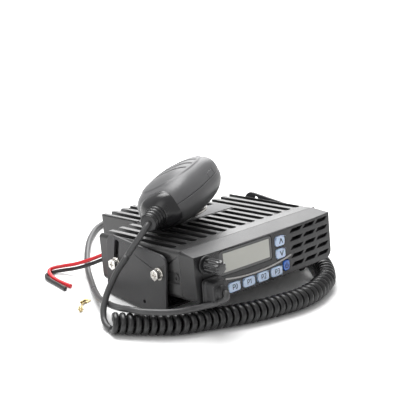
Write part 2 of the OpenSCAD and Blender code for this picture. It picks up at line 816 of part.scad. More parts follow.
// Rounded body as rings along its length: each ring is a squarish oval, deeper in front of
// the seam than behind it; shrink pulls every side in
function signed_pow(v, e) = sign(v) * pow(abs(v), e);
function mic_ring(t, shrink, n) = let(
        half_w = (mic_w / 2 - shrink) * pow(1 - pow(abs(t), 3), 1 / 2.4),
        deep = pow(1 - pow(abs(t), 2.8), 1 / 2.2))
    [for (k = [0:n - 1]) let(c = cos(360 * k / n), s = sin(360 * k / n),
        z = (s > 0 ? mic_front : mic_rear) - shrink)
        [half_w * signed_pow(c, 2 / 2.7), (mic_l / 2 - shrink) * t, z * deep * signed_pow(s, s > 0 ? 2 / 3 : 2 / 2.3)]];
module mic_body(shrink, n = 20, rows = 12) {
    points = [for (i = [0:rows]) each mic_ring(0.9995 * sin(180 * i / rows - 90), shrink, n)];
    hull() polyhedron(points, [[for (k = [0:n - 1]) k], [for (k = [n - 1:-1:0]) rows * n + k],
        for (i = [0:rows - 1], k = [0:n - 1])
            [i * n + k, i * n + (k + 1) % n, (i + 1) * n + (k + 1) % n, (i + 1) * n + k]]);
}

cap_y = -mic_l / 2 + 7;
cap_front = 13.4;
ptt_y = 2;
insert_at = [mic_w / 2 - 2, 8.7, 2.6];

// Space the end cap takes out of the shells' lower end
module cap_space(grow) {
    translate([0, cap_y, 0]) rotate([90, 0, 0]) linear_extrude(20)
        pill(cap_w + 2 * grow, 2 * (cap_front + grow), 8);
}

module mic_half(s) {
    difference() {
        intersection() {
            mic_body(0);
            translate([-mic_w, -mic_l, s > 0 ? 0.05 : -2 * mic_rear - 0.05])
                cube([2 * mic_w, 2 * mic_l, 2 * mic_rear]);
        }
        mic_body(mic_wall, 12, 8);
        cap_space(0.1);
        // opening for the talk key
        translate([-mic_w / 2 - 5, ptt_y - 20, -5]) cube([12, 40, 10]);
    }
}

module mic_front_shell() {
    color([0.35, 0.35, 0.36]) in_mic() difference() {
        mic_half(1);
        for (i = [0:3]) translate([-21, -7.1 + i * 9.7, mic_front - 4.4]) cube([42, 2.2, 8]);
        translate([insert_at[0] - 4, insert_at[1] - 6, -1]) cube([12, 12, insert_at[2] + 4]);
    }
}

// Small moulded insert in the microphone's right side
module mic_side_insert() {
    color([0.33, 0.33, 0.34]) in_mic() intersection() {
        mic_body(0.1);
        translate([insert_at[0] - 0.4, insert_at[1] - 5.7, 0.1])
            cube([6, 11.4, insert_at[2] + 2.6]);
    }
}

module mic_rear_shell() {
    color([0.3, 0.3, 0.31]) in_mic() difference() {
        mic_half(-1);
        for (p = mic_screw_points()) translate([p[0], p[1], -mic_rear - 1]) {
            cylinder(r = 2.3, h = screw_in + 1);
            cylinder(r = 1, h = screw_in + 4);
        }
    }
}

screw_in = 3;
function mic_screw_points() = [for (x = [-11, 11], y = [-14, 20]) [x, y]];

module mic_screws() {
    color("silver") in_mic() for (p = mic_screw_points())
        translate([p[0], p[1], -mic_rear + screw_in - touch]) rotate([180, 0, 0])
            pan_screw(2.1, 0.9, 0.9, 0.8);
}

relief_y = cap_y - 10.5;

// Soft rubber block at the lower end, drawn in towards the strain relief
module mic_end_cap() {
    color([0.17, 0.17, 0.18]) in_mic() hull() {
        translate([0, cap_y - touch, 0]) rotate([90, 0, 0]) linear_extrude(1.4)
            pill(cap_w, 2 * cap_front, 8);
        translate([0, cap_y - 5.4, 0]) rotate([90, 0, 0]) linear_extrude(0.4)
            pill(cap_w - 6, 2 * cap_front - 4, 9);
        translate([0, relief_y + 0.5, 0]) rotate([90, 0, 0]) cylinder(r = 9, h = 0.5, $fn = 32);
    }
}

// Ribbed, tapered strain relief
module mic_strain_relief() {
    l = relief_l / 15;
    color([0.17, 0.17, 0.18]) in_mic() translate([0, relief_y - touch, 0]) rotate([90, 0, 0])
        rotate_extrude() polygon([[cord_r + 0.02, 0], [8.8, 0], [8.7, 2.4 * l], [7.9, 2.6 * l],
            [7.9, 3.8 * l], [8.4, 4 * l], [8.1, 6.8 * l], [7.4, 7 * l], [7.4, 8.2 * l],
            [7.9, 8.4 * l], [7.6, 11.2 * l], [7, 11.4 * l], [7, 12.6 * l], [7.4, 12.8 * l],
            [6.9, 15 * l], [cord_r + 0.02, 15 * l]]);
}

// Talk key on the left side, with a rib that bears on the switch
module mic_ptt() {
    color([0.2, 0.2, 0.21]) in_mic() translate([-mic_w / 2 - 2.6, ptt_y, 0]) union() {
        translate([0, -19.4, -4.6]) cube([7, 38.8, 9.2]);
        translate([6, -3, -2]) cube([5, 6, 4]);
    }
}

module mic_switch() {
    color("black") in_mic() translate([-mic_w / 2 + 8.6 + ptt_travel + 0.2, ptt_y - 4, -2.4])
        cube([6, 8, 5]);
}

module mic_board() {
    color("darkgreen") in_mic() translate([-mic_w / 2 + 10, -22, -4.2]) cube([mic_w - 20, 50, 1.6]);
}

module mic_capsule() {
    color("silver") in_mic() translate([0, 6, 6]) cylinder(r = 5, h = 7);
}

// Round stud that hangs the microphone on a clip
module mic_hanger_stud() {
    color("silver") in_mic() translate([0, 10, -mic_rear - touch]) rotate([180, 0, 0]) {
        cylinder(r = 5, h = 1.9);
        translate([0, 0, 1.9]) cylinder(r = 8, h = 1.9);
    }
}

// ---- Cords ----

module curly_cord() { color("black") tube(curl_route, curl_d / 2, 12); }
module plug_tail_drop() { color("dimgray") tube(plug_drop_route, cord_r); }
module plug_tail_floor() { color("dimgray") tube(plug_floor_route, cord_r); }
module mic_tail_top() { color("dimgray") tube(mic_top_route, cord_r); }
module mic_tail_hang() { color("dimgray") tube(mic_hang_route, cord_r); }
module red_lead() { color("red") tube(red_route, lead_d / 2); }
module black_lead() { color("black") tube(black_route, lead_d / 2); }

// Two loose crimp terminals: a flat tongue with a hole and a rolled barrel
module crimp_terminals() {
    for (p = [[-102.6, 37, 200], [-113.7, 28.8, 235]])
        color("gold") translate([p[0], p[1], 0.3]) rotate(p[2]) {
            difference() {
                translate([-4.6, -2.4, 0]) cube([6, 4.8, 0.8]);
                translate([-2, 0, -1]) cylinder(r = 1.2, h = 3);
            }
            translate([1.4 + touch, 0, 1.6]) difference() {
                rod_x(1.6, 4.4);
                translate([-1, 0, 0]) rod_x(1, 7);
            }
        }
}

bracket();
tilt_bolts();
tilt_washers();
spacer_pads();
heat_sink_casting();
bottom_cover();
cover_screws();
side_screws();
rating_plate();
front_panel();
trim_strip();
display_window();
display_module();
keypad_sheet();
lower_key(0);  // key_0
lower_key(1);  // key_1
lower_key(2);  // key_2
lower_key(3);  // key_3
color("lightsteelblue") key_body([arrow_x, arrow_z[1]], arrow_w, arrow_h);  // key_up
color("lightsteelblue") key_body([arrow_x, arrow_z[0]], arrow_w, arrow_h);  // key_down
color("royalblue") key_body(power_at, power_w, power_h);  // key_power
volume_knob();
volume_shaft();
volume_control();
knob_collar();
speaker_frame();
speaker_cone();
speaker_magnet();
dust_mesh();
front_board();
main_board();
power_module();
shield_can();
antenna_socket();
speaker_jack();
power_grommet();
mic_jack();
mic_plug();
plug_boot();
mic_front_shell();
mic_rear_shell();
mic_side_insert();
mic_end_cap();
mic_strain_relief();
mic_ptt();
mic_capsule();
mic_board();
mic_switch();
mic_hanger_stud();
mic_screws();
curly_cord();
plug_tail_drop();
plug_tail_floor();
mic_tail_top();
mic_tail_hang();
red_lead();
black_lead();
crimp_terminals();
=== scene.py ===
import bpy
import bmesh
import json
import numpy as np
from math import cos, radians, sin, pi
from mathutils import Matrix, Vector

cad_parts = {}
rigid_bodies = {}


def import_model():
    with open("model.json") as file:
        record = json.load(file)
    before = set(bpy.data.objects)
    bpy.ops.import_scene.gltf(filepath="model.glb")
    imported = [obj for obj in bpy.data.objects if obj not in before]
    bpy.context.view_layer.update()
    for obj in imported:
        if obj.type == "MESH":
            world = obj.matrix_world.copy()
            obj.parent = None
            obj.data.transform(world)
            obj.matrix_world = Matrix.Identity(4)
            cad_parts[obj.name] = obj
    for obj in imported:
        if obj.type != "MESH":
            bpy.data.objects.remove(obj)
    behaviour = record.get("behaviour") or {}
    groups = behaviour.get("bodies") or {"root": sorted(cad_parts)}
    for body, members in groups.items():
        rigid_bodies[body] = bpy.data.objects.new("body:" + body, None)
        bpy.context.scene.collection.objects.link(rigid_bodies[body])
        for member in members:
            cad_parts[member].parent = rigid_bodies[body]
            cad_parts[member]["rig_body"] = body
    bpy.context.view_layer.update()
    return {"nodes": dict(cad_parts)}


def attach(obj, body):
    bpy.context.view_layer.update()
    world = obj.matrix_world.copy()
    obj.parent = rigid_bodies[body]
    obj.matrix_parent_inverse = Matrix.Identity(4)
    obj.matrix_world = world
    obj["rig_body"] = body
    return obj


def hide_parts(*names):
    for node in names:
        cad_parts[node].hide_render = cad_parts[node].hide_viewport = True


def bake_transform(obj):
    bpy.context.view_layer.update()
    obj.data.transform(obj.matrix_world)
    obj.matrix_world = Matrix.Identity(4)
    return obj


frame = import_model()

# ---------------------------------------------------------------------------
# Camera: a long lens a metre in front of the radio's left corner, a little above it.
camera_data = bpy.data.cameras.new("camera")
camera = bpy.data.objects.new("camera", camera_data)
bpy.context.collection.objects.link(camera)
camera.location = (-0.6282, -0.6809, 0.3964)
camera.rotation_mode = "QUATERNION"
aim = Vector((0.0562, 0.06405, 0.035))
camera.rotation_quaternion = (aim - camera.location).to_track_quat("-Z", "Y")
camera_data.sensor_width = 36
camera_data.lens = 103.85
camera_data.clip_start = 0.01
camera_data.clip_end = 100
bpy.context.scene.camera = camera


# ---------------------------------------------------------------------------
# Microphone cord and power leads: rubber-jacketed, laid on the surface.
# The curly stretch is wound close, turn against turn, and ends in two straight tails.
def grid_mesh(name, points, round_v=False, smooth=True, uv=None):
    """A sheet of quads over a rows x columns x 3 array of points in metres.

    Vertex (i, j) joins its neighbours (i + 1, j) and (i, j + 1); with round_v the last
    column also joins the first."""
    rows, cols = points.shape[:2]
    index = np.arange(rows * cols).reshape(rows, cols)
    i = np.arange(rows - 1)
    j = np.arange(cols if round_v else cols - 1)
    i, j = np.meshgrid(i, j, indexing="ij")
    j2 = (j + 1) % cols
    quads = np.stack([index[i, j], index[i + 1, j], index[i + 1, j2], index[i, j2]], -1)
    mesh = bpy.data.meshes.new(name)
    mesh.from_pydata(points.reshape(-1, 3).tolist(), [], quads.reshape(-1, 4).tolist())
    mesh.polygons.foreach_set("use_smooth", np.full(len(mesh.polygons), smooth))
    if uv is not None:
        layer = mesh.uv_layers.new(name="UVMap")
        spots = np.zeros(len(mesh.loops), np.int64)
        mesh.loops.foreach_get("vertex_index", spots)
        layer.data.foreach_set("uv", uv.reshape(-1, 2)[spots].ravel().astype(np.float32))
    mesh.update()
    piece = bpy.data.objects.new(name, mesh)
    bpy.context.collection.objects.link(piece)
    return piece


def smooth_line(points, step):
    """Catmull-Rom curve through the points, then resampled at an even step along its length."""
    p = np.asarray(points, float)
    p = np.vstack([2 * p[0] - p[1], p, 2 * p[-1] - p[-2]])
    t = np.linspace(0, 1, 24, endpoint=False)[:, None]
    a, b, c, d = p[:-3, None], p[1:-2, None], p[2:-1, None], p[3:, None]
    run = 0.5 * (2 * b + (c - a) * t + (2 * a - 5 * b + 4 * c - d) * t ** 2
                 + (3 * b - a - 3 * c + d) * t ** 3)
    run = np.vstack([run.reshape(-1, 3), p[-2]])
    far = np.r_[0, np.cumsum(np.linalg.norm(np.diff(run, axis=0), axis=1))]
    even = np.linspace(0, far[-1], max(8, int(round(far[-1] / step)) + 1))
    return np.stack([np.interp(even, far, run[:, k]) for k in range(3)], -1), far[-1]


def carried_rings(path, radius, sides):
    """Circles square to the path. Each circle's first spoke is the last one's, turned only as
    far as the path bends, so that the tube doesn't twist."""
    ahead = np.gradient(path, axis=0)
    ahead /= np.linalg.norm(ahead, axis=1)[:, None]
    spoke = np.cross(ahead[0], (0.31, 0.17, 0.93))
    spokes = []
    for t in ahead:
        spoke = spoke - t * spoke.dot(t)
        spoke = spoke / np.linalg.norm(spoke)
        spokes.append(spoke)
    spokes = np.array(spokes)
    across = np.cross(ahead, spokes)
    turn = np.linspace(0, 2 * pi, sides, endpoint=False)
    ring = (np.cos(turn)[None, :, None] * spokes[:, None]
            + np.sin(turn)[None, :, None] * across[:, None])
    radius = np.broadcast_to(radius, len(path))[:, None, None]
    return path[:, None] + ring * radius


def cord_mesh(name, path, radius, sides=16):
    """A tube along the path with its two ends closed to a point. Its UV map runs in metres
    along the cord and around it."""
    rings = carried_rings(path, radius, sides)
    start = np.repeat(path[:1, None], sides, 1)
    end = np.repeat(path[-1:, None], sides, 1)
    rings = np.concatenate([start, rings, end])
    far = np.r_[0, np.cumsum(np.linalg.norm(np.diff(path, axis=0), axis=1))]
    far = np.r_[far[0], far, far[-1]]
    around = np.linspace(0, 1, sides, endpoint=False)
    uv = np.stack(np.broadcast_arrays(far[:, None], around[None]), -1)
    return grid_mesh(name, rings, round_v=True, uv=uv)


def jacket(name, colour, rough, bump=0.12, scale=900, tint=0.25, metal=0.0):
    """Moulded or extruded plastic: a base colour that drifts slightly, a fine grain in the
    relief, and a roughness that wanders with handling."""
    material = bpy.data.materials.new(name)
    material.use_nodes = True
    nodes = material.node_tree.nodes
    links = material.node_tree.links
    shader = nodes["Principled BSDF"]
    place = nodes.new("ShaderNodeTexCoord")
    fine = nodes.new("ShaderNodeTexNoise")
    fine.inputs["Scale"].default_value = scale
    fine.inputs["Detail"].default_value = 3
    broad = nodes.new("ShaderNodeTexNoise")
    broad.inputs["Scale"].default_value = 45
    broad.inputs["Detail"].default_value = 5
    links.new(place.outputs["Object"], fine.inputs["Vector"])
    links.new(place.outputs["Object"], broad.inputs["Vector"])
    tone = nodes.new("ShaderNodeValToRGB")
    low = [c * (1 - tint) for c in colour[:3]] + [1]
    high = [min(1, c * (1 + tint)) for c in colour[:3]] + [1]
    tone.color_ramp.elements[0].position = 0.3
    tone.color_ramp.elements[0].color = low
    tone.color_ramp.elements[1].position = 0.7
    tone.color_ramp.elements[1].color = high
    links.new(broad.outputs["Fac"], tone.inputs["Fac"])
    links.new(tone.outputs["Color"], shader.inputs["Base Color"])
    gloss = nodes.new("ShaderNodeMapRange")
    gloss.inputs["To Min"].default_value = rough - 0.06
    gloss.inputs["To Max"].default_value = rough + 0.06
    links.new(broad.outputs["Fac"], gloss.inputs["Value"])
    links.new(gloss.outputs["Result"], shader.inputs["Roughness"])
    relief = nodes.new("ShaderNodeBump")
    relief.inputs["Strength"].default_value = bump
    relief.inputs["Distance"].default_value = 0.0002
    links.new(fine.outputs["Fac"], relief.inputs["Height"])
    links.new(relief.outputs["Normal"], shader.inputs["Normal"])
    shader.inputs["Metallic"].default_value = metal
    return material


cord_jacket = jacket("cord_jacket", (0.045, 0.045, 0.046), 0.4, bump=0.05)
curl_jacket = jacket("curl_jacket", (0.01, 0.01, 0.0105), 0.32, bump=0.05)
red_skin = jacket("red_skin", (0.55, 0.012, 0.02), 0.34, bump=0.04, tint=0.1)
black_skin = jacket("black_skin", (0.012, 0.012, 0.012), 0.36, bump=0.04)

cord_r = 0.0025
lead_r = 0.0016
curl_r = 0.00865
wire_r = 0.00262
curl_pitch = 0.00568
curl_lean = 0.5
curl_floor = np.array([
    [-122.5, -23], [-118, -28.5], [-110, -37.5], [-97.5, -49.5], [-85.5, -58.5],
    [-70.5, -65], [-55.5, -71], [-40, -77], [-23, -82], [-4.5, -85.5], [16, -88],
    [35, -85.5], [49.5, -80], [59, -75.5], [69, -66.5], [77.5, -56.5], [84, -46],
    [88.5, -36], [91, -24], [92, -10], [92, 10], [91, 30], [90, 50], [91, 80]]) / 1000
curl_line = np.column_stack([curl_floor, np.full(len(curl_floor), curl_r)])


def curl_path(line, outer_r, strand_r, pitch, steps, lean):
    """A helix round the line: each point stands out from the line by the outer radius less the
    wire's radius, and goes round once for every pitch of length, down on the far side and up
    on the near one. The turns lean over like a row of coins, by a share of their half-width.
    It starts and ends under the line, and passes a whole number of turns."""
    even, length = smooth_line(line, 0.0005)
    turns = round(length / pitch)
    s = np.linspace(0, 1, turns * steps + 1)
    along = np.linspace(0, 1, len(even))
    centre = np.stack([np.interp(s, along, even[:, k]) for k in range(3)], -1)
    ahead = np.gradient(centre, axis=0)
    ahead /= np.linalg.norm(ahead, axis=1)[:, None]
    side = np.cross((0, 0, 1), ahead)
    up = np.cross(ahead, side)
    angle = (-pi / 2 - 2 * pi * turns * s)[:, None]
    reach = outer_r - strand_r
    turned = side - lean * ahead
    return centre + reach * (np.cos(angle) * turned + np.sin(angle) * up)


curl = curl_path(curl_line, curl_r, wire_r, curl_pitch, 20, curl_lean)
curly_cord = cord_mesh("curly_cord_strand", curl, wire_r, 10)
curly_cord.data.materials.append(curl_jacket)
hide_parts("curly_cord")
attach(curly_cord, "bracket")

plug_drop_line = np.array([
    [-62.3, -80.6, 34.9], [-62.3, -85, 35.4], [-63.6, -87, 33], [-63.2, -84, 30],
    [-66, -77, 25.5], [-70.2, -70.5, 22.6], [-76.5, -66, 21], [-87.8, -61.6, 20.5],
    [-97.2, -55.5, 20.5], [-105.3, -47.4, 20.5], [-110, -41, 20.4], [-112.4, -32.5, 19.8],
    [-112, -20, 16.8], [-108.8, -3.3, 13], [-101.5, 19, 8.5], [-89.4, 42.5, 5]]) / 1000
plug_floor_line = np.array([
    [-89.2, 42.8, 5], [-76, 64.7, 3], [-64, 84.4, 2.6], [-51, 103, 2.6], [-36.4, 121.6, 2.6],
    [-20, 140, 2.6], [-0.7, 157, 2.6], [13.3, 164.7, 2.6], [26, 167.5, 2.6],
    [40, 166, 2.6], [52, 162.5, 2.6], [62, 158, 2.6], [71, 151, 2.6], [76, 143, 2.6],
    [79.5, 134, 2.6], [80, 125, 2.6], [79, 116, 2.6], [77, 107, 2.6], [75.8, 98, 2.6],
    [77, 90, 2.6], [81.5, 84.5, 2.6], [87, 82.5, 2.62], [90.8, 81, 2.63]]) / 1000
mic_top_line = np.array([
    [-69.2, -5.5, 71.8], [-71.5, -6.7, 71.5], [-73.9, -7.6, 70.4], [-76, -7.7, 68],
    [-78.4, -6.6, 64.6], [-80.6, -4.9, 60.5], [-82.8, -2.9, 56], [-84.9, -1, 51.5],
    [-87.5, 0.5, 47]]) / 1000
mic_hang_line = np.array([
    [-87.7, 0.6, 46.7], [-91.5, 1.7, 41.5], [-95.4, 2.7, 36.5], [-100.5, 2.8, 29.5],
    [-106, 1.7, 23], [-111.4, -0.9, 17], [-115.9, -4.1, 11], [-119.4, -9, 6],
    [-121.6, -15.5, 3.4], [-122.4, -22, 2.7]]) / 1000
red_line = np.array([
    [-55, 51.8, 26.6], [-55.2, 55.8, 26.1], [-58.5, 61, 24.3], [-63, 66, 21.4],
    [-67.5, 72, 17.8], [-71.3, 80, 13.6], [-75, 89, 9.6], [-79.5, 98, 6.6], [-86, 103, 5.2],
    [-92, 101.5, 4.7], [-95, 95, 3.4], [-95.5, 87, 2.1], [-95, 78, 1.7],
    [-94, 68, 1.7]]) / 1000
black_line = np.array([
    [-55, 51.4, 22.6], [-55.2, 55.3, 22.1], [-58.8, 60.5, 20.3], [-63.6, 65.5, 17.4],
    [-68.2, 71.6, 13.8], [-72.2, 79.6, 9.6], [-76, 88.6, 5.8], [-80.6, 97.5, 3],
    [-87, 102.3, 1.7], [-94.3, 101.6, 1.7], [-98.6, 95.4, 1.7], [-99.6, 87, 1.7],
    [-100, 77, 1.7], [-101, 66, 1.7]]) / 1000


def straight_cord(name, line, radius, skin, node, bodies, sides=16):
    """Sweeps the cord, gives it its jacket, and attaches it to one body; a cord that runs between
    two bodies is left in place on none.
    """
    path, length = smooth_line(line, radius * 1.1)
    piece = cord_mesh(name, path, radius, sides)
    piece.data.materials.append(skin)
    if len(bodies) == 2:
        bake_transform(piece)
    else:
        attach(piece, bodies[0])
    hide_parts(node)
    return piece, path, length


floor_tail, floor_path, floor_length = straight_cord(
    "plug_tail_on_surface", plug_floor_line, cord_r, cord_jacket, "plug_tail_floor",
    ["bracket"])
drop_tail, drop_path, drop_length = straight_cord(
    "plug_tail_from_boot", plug_drop_line, cord_r, cord_jacket, "plug_tail_drop",
    ["radio", "bracket"])
hang_tail, hang_path, hang_length = straight_cord(
    "mic_tail_hanging", mic_hang_line, cord_r, cord_jacket, "mic_tail_hang",
    ["radio", "bracket"])
top_tail, top_path, top_length = straight_cord(
    "mic_tail_at_relief", mic_top_line, cord_r, cord_jacket, "mic_tail_top",
    ["mic", "radio"])
red_wire, red_path, red_length = straight_cord(
    "red_wire", red_line, lead_r, red_skin, "red_lead", ["radio", "bracket"])
black_wire, black_path, black_length = straight_cord(
    "black_wire", black_line, lead_r, black_skin, "black_lead",
    ["radio", "bracket"])

# ---------------------------------------------------------------------------
# Bracket: folded sheet steel under fine-textured satin black paint, screwed to the car.
# Four zinc-plated hexagon bolts with washers clamp the radio in it through rubber pads.
def softened(node, width, skin, angle=35):
    """The CAD node with its loose triangles merged and its sharp edges rounded by the width,
    which catch the light as pressed and moulded edges do."""
    source = frame["nodes"][node]
    mesh = source.data.copy()
    piece = bpy.data.objects.new(node + "_finished", mesh)
    bpy.context.collection.objects.link(piece)
    form = bmesh.new()
    form.from_mesh(mesh)
    bmesh.ops.remove_doubles(form, verts=form.verts, dist=0.000002)
    form.to_mesh(mesh)
    form.free()
    mesh.materials.clear()
    mesh.materials.append(skin)
    mesh.polygons.foreach_set("use_smooth", np.ones(len(mesh.polygons), bool))
    edges = piece.modifiers.new("rounded_edges", "BEVEL")
    edges.width = width
    edges.segments = 2
    edges.limit_method = "ANGLE"
    edges.angle_limit = radians(angle)
    edges.use_clamp_overlap = False
    edges.harden_normals = True
    shading = piece.modifiers.new("flat_faces", "WEIGHTED_NORMAL")
    shading.keep_sharp = True
    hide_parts(node)
    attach(piece, source["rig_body"])
    return piece


def finished(node, skin):
    """Gives a CAD node that keeps its own form its finish."""
    mesh = frame["nodes"][node].data
    mesh.materials.clear()
    mesh.materials.append(skin)


bracket_paint = jacket("bracket_paint", (0.034, 0.034, 0.036), 0.48, bump=0.3, scale=1400,
                       tint=0.08)
softened("bracket", 0.0004, bracket_paint)


def plated(name, colour, rough, scale=600, streak=(1, 1, 1)):
    """Plated metal: bright, with a roughness that varies in fine streaks and light stains."""
    material = jacket(name, colour, rough, bump=0.05, scale=scale, tint=0.12, metal=1.0)
    nodes = material.node_tree.nodes
    links = material.node_tree.links
    stretch = nodes.new("ShaderNodeMapping")
    stretch.inputs["Scale"].default_value = streak
    place = next(n for n in nodes if n.bl_idname == "ShaderNodeTexCoord")
    fine = next(n for n in nodes if n.bl_idname == "ShaderNodeTexNoise")
    links.new(place.outputs["Object"], stretch.inputs["Vector"])
    links.new(stretch.outputs["Vector"], fine.inputs["Vector"])
    return material


zinc = plated("zinc_plate", (0.72, 0.70, 0.66), 0.26)
nickel = plated("nickel_plate", (0.66, 0.65, 0.62), 0.2)
black_steel = jacket("black_oxide", (0.02, 0.02, 0.02), 0.35, tint=0.3)
pad_rubber = jacket("pad_rubber", (0.02, 0.02, 0.021), 0.7)
softened("tilt_bolts", 0.0003, zinc)
softened("tilt_washers", 0.00015, zinc)
finished("spacer_pads", pad_rubber)

# ---------------------------------------------------------------------------
# Heat sink: one aluminium die casting that is the radio's case, painted satin dark grey.
# A flush sheet cover closes it below, on four screws; two black screws hold the front panel.
cast_paint = jacket("cast_paint", (0.02, 0.02, 0.0205), 0.36, bump=0.25, scale=1100, tint=0.12)
cast_paint.node_tree.nodes["Principled BSDF"].inputs["Coat Weight"].default_value = 0.15
cast_paint.node_tree.nodes["Principled BSDF"].inputs["Coat Roughness"].default_value = 0.3
softened("heat_sink_casting", 0.0005, cast_paint)
softened("bottom_cover", 0.0002, cast_paint)
softened("cover_screws", 0.0001, zinc)
softened("side_screws", 0.0001, black_steel)

# ---------------------------------------------------------------------------
# Rating plate: a thin aluminium plate with a satin grey face, glued to the flat pad.
plate_skin = plated("plate_skin", (0.1, 0.1, 0.104), 0.5, scale=300, streak=(1, 14, 14))
plate_skin.node_tree.nodes["Principled BSDF"].inputs["Metallic"].default_value = 0.3
softened("rating_plate", 0.0001, plate_skin)

# ---------------------------------------------------------------------------
# Front panel: moulded in dark grey plastic with a fine spark texture, its face bulging a
# little; the louvres on the right let the loudspeaker's sound out.
panel_skin = jacket("panel_skin", (0.016, 0.016, 0.017), 0.38, bump=0.3, scale=1500, tint=0.08)
softened("front_panel", 0.00035, panel_skin)
softened("knob_collar", 0.0003, panel_skin)

# ---------------------------------------------------------------------------
# Display: clear hard-coated window, printed black behind except over the grey-green glass.
nose_up = radians(7.5)
bolt_back = 39
bolt_up = 20
bolt_y = -27.5
bolt_z = 38
face_w = 150
face_bulge = 3
face_fall = 1.5


def in_radio(x, y, z):
    """From the radio's own frame in millimetres (face at y = 0, underside at z = 0) to its
    place in the bracket in metres: turned back by the tilt about the front bolts."""
    x, y, z = np.broadcast_arrays(np.asarray(x, float), y, z)
    back = y - bolt_back
    up = z - bolt_up
    across = back * cos(nose_up) + up * sin(nose_up) + bolt_y
    height = up * cos(nose_up) - back * sin(nose_up) + bolt_z
    return np.stack([x, across, height], -1) / 1000


def face_depth(x):
    """Depth in mm of the bulging face at a distance x from its middle: an arc whose middle
    stands out and whose radius is width squared over eight bulges, plus half a bulge."""
    face_r = face_w ** 2 / 8 / face_bulge + face_bulge / 2
    return -face_fall + face_r - np.sqrt(face_r ** 2 - x ** 2)


def super_outline(across, up, power, count=96):
    """Points of a superellipse: cosine and sine of the angle raised to 2 / power."""
    turn = np.linspace(0, 2 * pi, count, endpoint=False)
    return (across * np.sign(np.cos(turn)) * np.abs(np.cos(turn)) ** (2 / power),
            up * np.sign(np.sin(turn)) * np.abs(np.sin(turn)) ** (2 / power))


def face_plate(name, middle, half, power, near, skin, node, body, rings):
    """A thin plate that follows the face: rings of one superellipse drawn in towards its
    middle, each point as deep as the face there plus a set depth."""
    x, z = super_outline(half[0], half[1], power)
    share = np.r_[1, 1, np.linspace(0.985, 0, rings)][:, None]
    sunk = np.r_[0.7, 0.12, np.zeros(rings)][:, None]
    x = middle[0] + share * x
    z = middle[1] + share * z
    plate = grid_mesh(name, in_radio(x, face_depth(x) + near + sunk, z), round_v=True)
    plate.data.materials.append(skin)
    outward(plate)
    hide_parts(node)
    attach(plate, body)


def outward(piece):
    """Merges a form's poles and seams and turns its faces outwards."""
    form = bmesh.new()
    form.from_mesh(piece.data)
    bmesh.ops.remove_doubles(form, verts=form.verts, dist=0.0000005)
    bmesh.ops.recalc_face_normals(form, faces=form.faces)
    form.to_mesh(piece.data)
    form.free()


def display_skin(name, dark, light, half):
    """Glossy black frame round a lit area: the Object coordinates, turned into the radio's
    own frame, give a rounded rectangle whose inside takes the glass's grey-green."""
    material = jacket(name, dark, 0.12, bump=0.0, tint=0.2)
    nodes = material.node_tree.nodes
    links = material.node_tree.links
    shader = nodes["Principled BSDF"]
    shader.inputs["Coat Weight"].default_value = 0.6
    shader.inputs["Coat Roughness"].default_value = 0.04
    place = next(n for n in nodes if n.bl_idname == "ShaderNodeTexCoord")
    turn = nodes.new("ShaderNodeMapping")
    turn.vector_type = "TEXTURE"
    turn.inputs["Location"].default_value = glass_middle
    turn.inputs["Rotation"].default_value = (-nose_up, 0, 0)
    links.new(place.outputs["Object"], turn.inputs["Vector"])
    split = nodes.new("ShaderNodeSeparateXYZ")
    links.new(turn.outputs["Vector"], split.inputs["Vector"])
    inside = []
    for axis, reach in (("X", half[0]), ("Z", half[1])):
        size = nodes.new("ShaderNodeMath")
        size.operation = "ABSOLUTE"
        links.new(split.outputs[axis], size.inputs[0])
        edge = nodes.new("ShaderNodeMapRange")
        edge.inputs["From Min"].default_value = reach + 0.0001
        edge.inputs["From Max"].default_value = reach - 0.0001
        links.new(size.outputs[0], edge.inputs["Value"])
        inside.append(edge.outputs["Result"])
    both = nodes.new("ShaderNodeMath")
    both.operation = "MULTIPLY"
    links.new(inside[0], both.inputs[0])
    links.new(inside[1], both.inputs[1])
    glow = nodes.new("ShaderNodeValToRGB")
    glow.color_ramp.elements[0].position = 0.2
    glow.color_ramp.elements[0].color = [c * 0.93 for c in light] + [1]
    glow.color_ramp.elements[1].position = 0.8
    glow.color_ramp.elements[1].color = [*light, 1]
    broad = [n for n in nodes if n.bl_idname == "ShaderNodeTexNoise"][1]
    links.new(broad.outputs["Fac"], glow.inputs["Fac"])
    mix = nodes.new("ShaderNodeMix")
    mix.data_type = "RGBA"
    frame_tone = next(n for n in nodes if n.bl_idname == "ShaderNodeValToRGB")
    links.new(both.outputs[0], mix.inputs["Factor"])
    links.new(frame_tone.outputs["Color"], mix.inputs[6])
    links.new(glow.outputs["Color"], mix.inputs[7])
    links.new(mix.outputs[2], shader.inputs["Base Color"])
    return material


glass_at = (-22.5, 26.1)
glass_middle = tuple(in_radio(glass_at[0], 0, glass_at[1]).tolist())
window_skin = display_skin("window_skin", (0.012, 0.012, 0.013), (0.37, 0.37, 0.335),
                           (0.0242, 0.0075))
face_plate("display_pane", (-23.4, 26.2), (27.9, 10.0), 12, 0.35, window_skin,
           "display_window", "radio", rings=24)
finished("display_module", jacket("display_body", (0.3, 0.31, 0.28), 0.4))

# ---------------------------------------------------------------------------
# Silver arc: a raised rib in metallic paint that sags between the display and the keys.
trim_skin = plated("trim_paint", (0.26, 0.255, 0.25), 0.32)
trim_skin.node_tree.nodes["Principled BSDF"].inputs["Metallic"].default_value = 0.7
finished("trim_strip", trim_skin)

# ---------------------------------------------------------------------------
# Keys: translucent moulded caps on a silicone sheet, their legends printed in dark ink.
def key_skin(name, colour):
    """Translucent blue plastic: a soft coat over a tone that drifts a little."""
    material = jacket(name, colour, 0.3, bump=0.03, tint=0.05)
    shader = material.node_tree.nodes["Principled BSDF"]
    shader.inputs["Coat Weight"].default_value = 0.5
    shader.inputs["Coat Roughness"].default_value = 0.12
    shader.inputs["Subsurface Weight"].default_value = 0.15
    shader.inputs["Subsurface Scale"].default_value = 0.001
    return material


